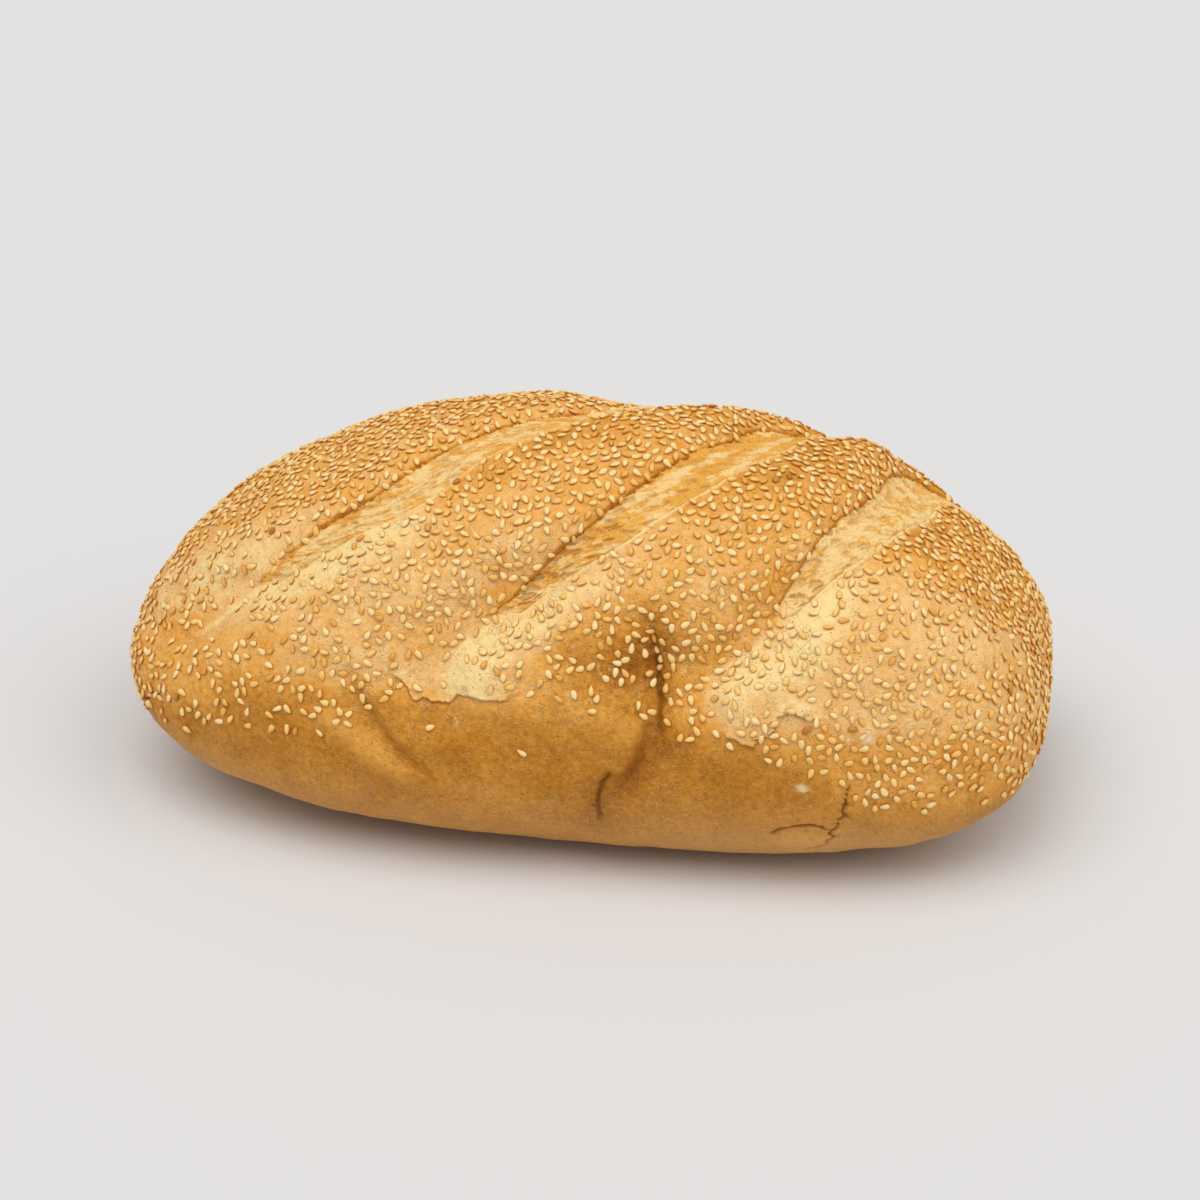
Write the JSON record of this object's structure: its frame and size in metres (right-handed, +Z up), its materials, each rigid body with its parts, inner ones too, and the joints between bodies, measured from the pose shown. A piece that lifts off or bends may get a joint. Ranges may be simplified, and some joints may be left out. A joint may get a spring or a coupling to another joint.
{
  "type": "vienna loaf",
  "caption": "Long oval loaf of white bread with a flat base, a domed crust opened by slanting slashes, and small flat seeds fused over its top and sides.",
  "frame": {"origin": "bottom centre of the loaf's bounding box, on the surface that it rests on", "axes": "+X along the loaf's length towards the end that the slashes lean to, -Y towards its front, where the slashes run down, +Z up"},
  "size_m": [0.3006, 0.1614, 0.128],
  "materials": {
    "crust": "baked crust, golden tan to orange brown, dry and slightly satin",
    "crumb": "torn crumb in the slashes, pale yellow, matte and porous",
    "seed": "cream sesame seed, satin",
    "toasted_seed": "toasted sesame seed, golden brown, satin"
  },
  "bodies": {
    "root": {"loaf": "crust"}
  },
  "joints": []
}
